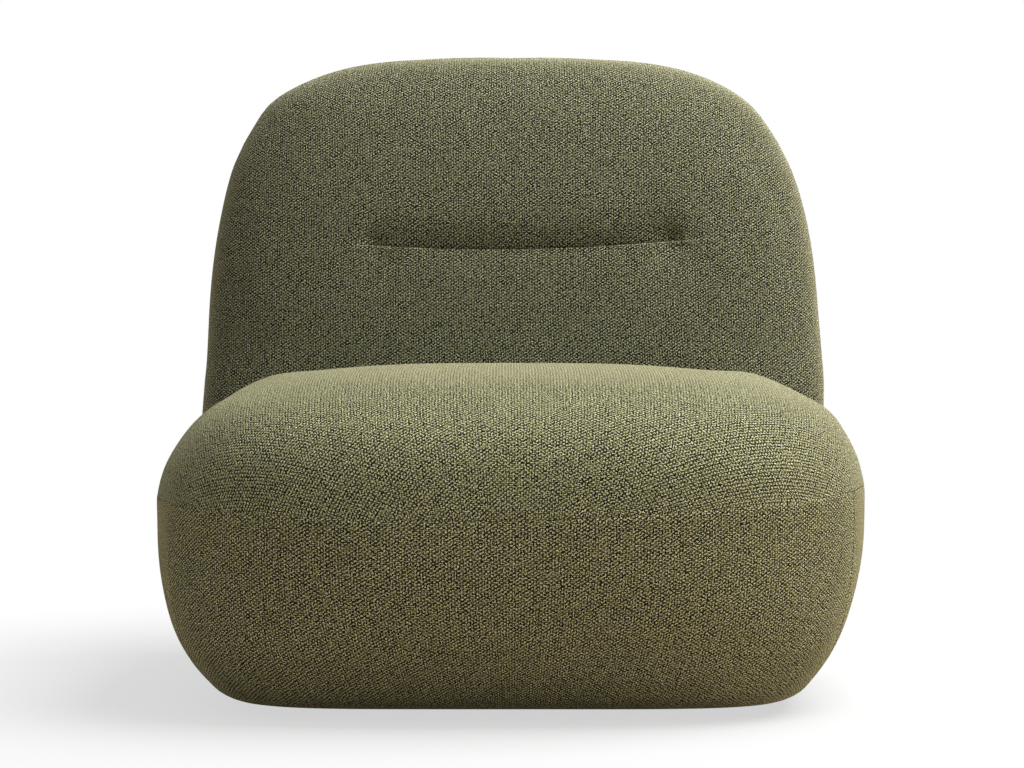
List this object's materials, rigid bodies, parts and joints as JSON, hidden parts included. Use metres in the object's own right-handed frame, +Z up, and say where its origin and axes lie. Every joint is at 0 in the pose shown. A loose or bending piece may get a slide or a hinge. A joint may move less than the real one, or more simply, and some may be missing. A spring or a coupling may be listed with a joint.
{
  "type": "swivel lounge chair",
  "caption": "Armless swivel lounge chair with a fat rounded seat and back in nubbly olive fabric, a sewn tuck across the back and a hidden base that turns freely.",
  "frame": {"origin": "on the floor, on the swivel axis, which is also the middle of the outline seen from above", "axes": "+Z up along the swivel axis, -Y towards the front of the seat, +X to the right of someone facing the front"},
  "size_m": [0.82, 0.8211, 0.78],
  "materials": {
    "olive_fabric": "nubbly olive chenille weave, matt with a soft nap",
    "olive_fabric_skirt": "the same weave, a little browner",
    "foam": "open-cell upholstery foam",
    "black_cambric": "thin black lining cloth",
    "plywood": "bare birch plywood",
    "beech": "bare beech",
    "black_disc": "plywood painted satin black",
    "zinc_steel": "zinc-plated pressed steel",
    "dark_steel": "blackened screws and bolt",
    "spring_steel": "oiled spring wire",
    "ball_steel": "polished bearing balls",
    "nylon": "natural nylon",
    "glide_rubber": "black rubber"
  },
  "bodies": {
    "base": {"base_disc": "black_disc", "floor_glide_1": "glide_rubber", "floor_glide_2": "glide_rubber", "floor_glide_3": "glide_rubber", "floor_glide_4": "glide_rubber", "floor_glide_5": "glide_rubber", "floor_glide_6": "glide_rubber", "lower_race": "zinc_steel", "race_screw_1": "dark_steel", "race_screw_2": "dark_steel", "race_screw_3": "dark_steel", "race_screw_4": "dark_steel", "king_bolt": "dark_steel", "king_nut": "zinc_steel", "king_washer": "zinc_steel"},
    "ball_ring": {"ball_cage": "nylon", "bearing_ball_1": "ball_steel", "bearing_ball_2": "ball_steel", "bearing_ball_3": "ball_steel", "bearing_ball_4": "ball_steel", "bearing_ball_5": "ball_steel", "bearing_ball_6": "ball_steel", "bearing_ball_7": "ball_steel", "bearing_ball_8": "ball_steel", "bearing_ball_9": "ball_steel", "bearing_ball_10": "ball_steel"},
    "chair": {"upper_race": "zinc_steel", "plate_screw_1": "dark_steel", "plate_screw_2": "dark_steel", "plate_screw_3": "dark_steel", "plate_screw_4": "dark_steel", "king_bush": "nylon", "base_board": "plywood", "dust_cover": "black_cambric", "front_rail": "plywood", "rear_rail": "plywood", "left_rail": "plywood", "right_rail": "plywood", "corner_block_1": "beech", "corner_block_2": "beech", "corner_block_3": "beech", "corner_block_4": "beech", "seat_spring_1": "spring_steel", "seat_spring_2": "spring_steel", "seat_spring_3": "spring_steel", "seat_spring_4": "spring_steel", "left_post": "plywood", "right_post": "plywood", "back_top_rail": "plywood", "back_waist_rail": "plywood", "seat_foam": "foam", "back_foam": "foam", "tuck_listing": "spring_steel", "seat_top_cover": "olive_fabric", "seat_skirt_cover": "olive_fabric_skirt", "back_front_cover": "olive_fabric", "back_rear_cover": "olive_fabric"}
  },
  "joints": [
    {"name": "swivel", "type": "hinge", "parent": "base", "child": "chair", "pos_m": [0, 0, 0], "axis": [0, 0, 1], "continuous": true},
    {"name": "cage_turn", "type": "hinge", "parent": "base", "child": "ball_ring", "pos_m": [0, 0, 0], "axis": [0, 0, 1], "continuous": true}
  ],
  "couplings": [
    {"joint": "cage_turn", "follows": "swivel", "ratio": 0.5}
  ]
}
